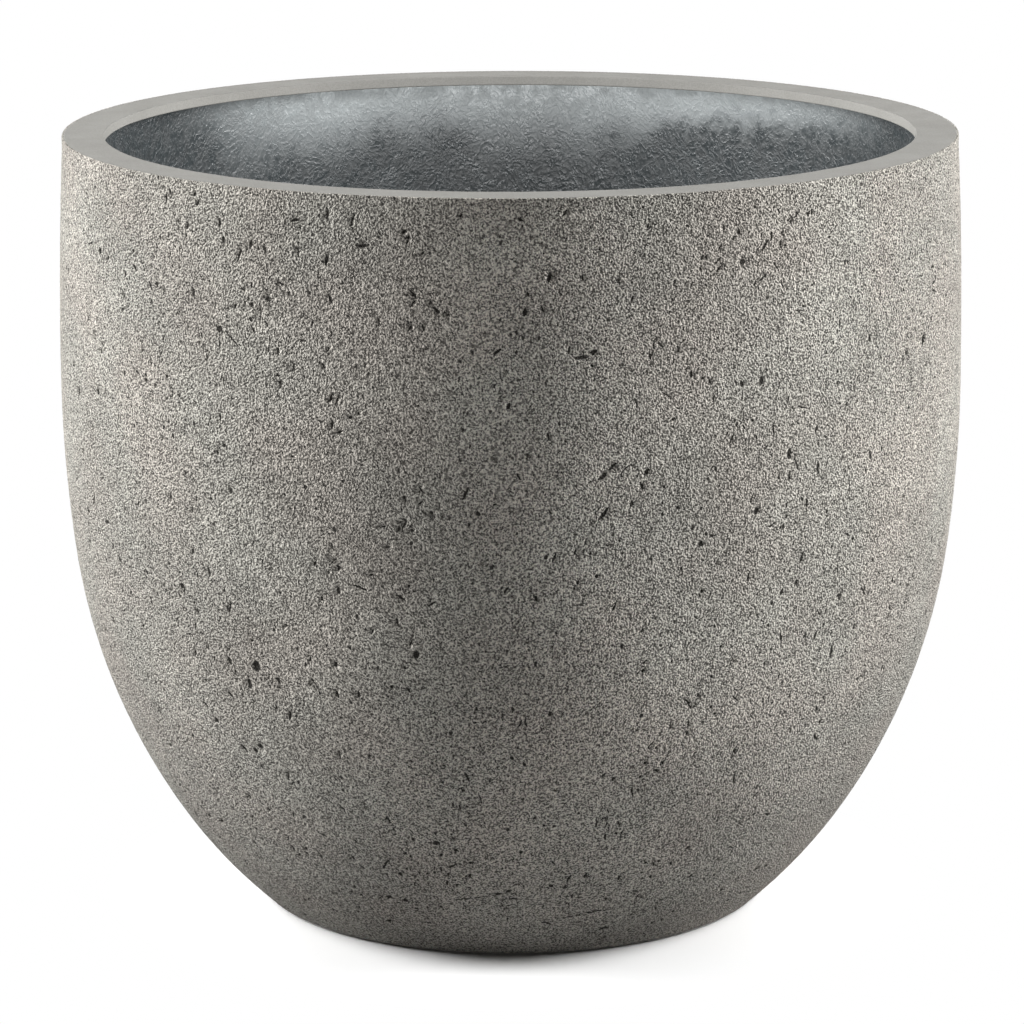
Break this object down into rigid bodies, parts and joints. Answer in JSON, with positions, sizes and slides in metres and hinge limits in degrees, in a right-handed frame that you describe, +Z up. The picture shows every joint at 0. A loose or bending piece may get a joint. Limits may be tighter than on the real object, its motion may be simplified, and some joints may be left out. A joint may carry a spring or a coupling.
{
  "type": "egg planter",
  "caption": "Round egg-shaped floor planter of etched fibre clay with a smooth flat lip, a dark lined inside, a floor drain with a lift-out rubber plug, and rubber feet.",
  "frame": {"origin": "on the floor under the middle of the pot, at the underside of the foot pads", "axes": "+Z up along the pot's axis, out of its mouth; the picture looks along +Y, with +X to the right"},
  "size_m": [0.5587, 0.5588, 0.482],
  "materials": {
    "etched_clay": "matte",
    "smooth_clay": "matte",
    "glass_fibre": "satin",
    "waterproof_coat": "satin",
    "drain_plastic": "satin",
    "plug_rubber": "matte",
    "pad_rubber": "matte"
  },
  "bodies": {
    "planter": {"outer_shell": "etched_clay", "rim_ring": "smooth_clay", "fibre_layer": "glass_fibre", "inner_lining": "waterproof_coat", "drain_sleeve": "drain_plastic", "foot_pad_1": "pad_rubber", "foot_pad_2": "pad_rubber", "foot_pad_3": "pad_rubber", "foot_pad_4": "pad_rubber"},
    "drain_plug": {"drain_plug": "plug_rubber"}
  },
  "joints": [
    {"name": "plug_lift", "type": "slide", "parent": "planter", "child": "drain_plug", "axis": [0, 0, 1], "range_m": [0, 0.5]}
  ]
}
